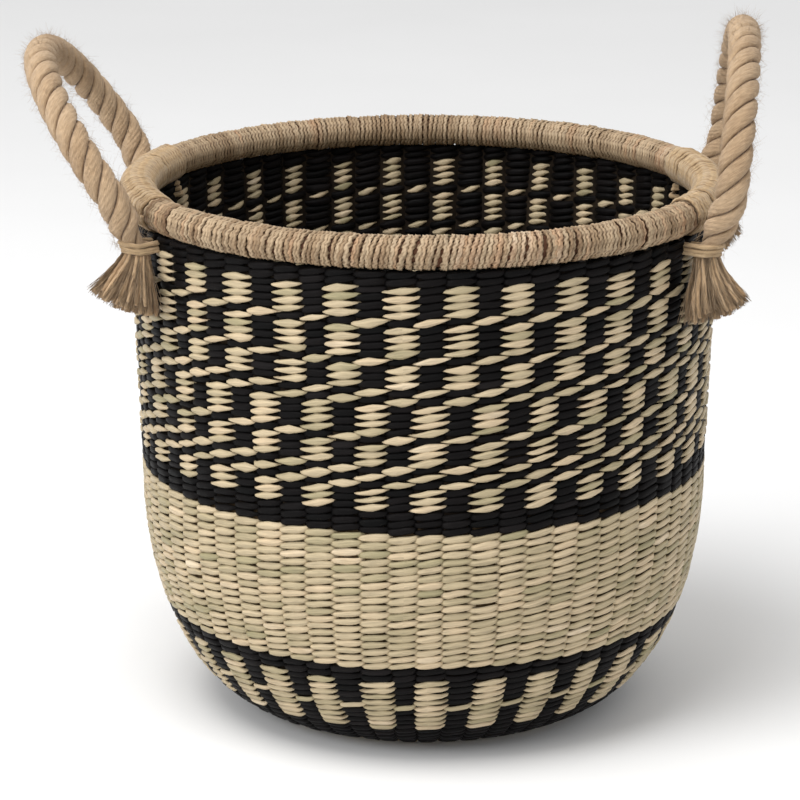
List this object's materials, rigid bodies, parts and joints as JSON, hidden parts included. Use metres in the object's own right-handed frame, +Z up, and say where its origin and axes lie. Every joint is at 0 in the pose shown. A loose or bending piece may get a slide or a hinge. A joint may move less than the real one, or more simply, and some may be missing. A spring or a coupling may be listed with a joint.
{
  "type": "woven market basket",
  "caption": "Round open woven basket with a rounded heel, a cord-wrapped rim and rope handles lashed outside the rim that fold in over the mouth or out to the side.",
  "frame": {"origin": "middle of the base's underside, on the surface the basket stands on", "axes": "+Z up, -Y front, +X towards the right-hand handle"},
  "size_m": [0.4561, 0.38, 0.4421],
  "materials": {
    "base_weft": "undyed twined seagrass, matte",
    "natural_weft": "undyed twined seagrass, matte",
    "checked_weft": "black-dyed and undyed seagrass strands twined in columns",
    "stakes": "bundled seagrass stakes",
    "hoop": "bundled seagrass, hidden",
    "rim_cord": "twisted grass cord, warm tan",
    "seat_yarn": "coarse jute yarn",
    "rope": "laid jute rope, hairy and matte",
    "lashing_yarn": "jute yarn",
    "frayed_rope": "unlaid jute yarns, hairy"
  },
  "bodies": {
    "basket": {"outer_base_disc": "base_weft", "inner_base_disc": "base_weft", "outer_heel_band": "checked_weft", "inner_heel_band": "checked_weft", "outer_check_band": "checked_weft", "inner_check_band": "checked_weft", "outer_natural_band": "natural_weft", "inner_natural_band": "natural_weft", "stake_cage": "stakes", "rim_core_hoop": "hoop", "rim_wrap": "rim_cord", "left_rim_seat_wrap": "seat_yarn", "right_rim_seat_wrap": "seat_yarn", "left_front_leg": "rope", "left_front_lashing": "lashing_yarn", "left_front_tail": "frayed_rope", "left_back_leg": "rope", "left_back_lashing": "lashing_yarn", "left_back_tail": "frayed_rope", "right_front_leg": "rope", "right_front_lashing": "lashing_yarn", "right_front_tail": "frayed_rope", "right_back_leg": "rope", "right_back_lashing": "lashing_yarn", "right_back_tail": "frayed_rope"},
    "left_handle": {"left_handle_loop": "rope"},
    "right_handle": {"right_handle_loop": "rope"}
  },
  "joints": [
    {"name": "left_handle_swing", "type": "hinge", "parent": "basket", "child": "left_handle", "pos_m": [-0.18929, -0.01656, 0.3465], "axis": [0.0872, -0.9962, 0], "range_deg": [-104, 46]},
    {"name": "right_handle_swing", "type": "hinge", "parent": "basket", "child": "right_handle", "pos_m": [0.19001, 0, 0.3465], "axis": [0, 1, 0], "range_deg": [-75, 74]}
  ]
}
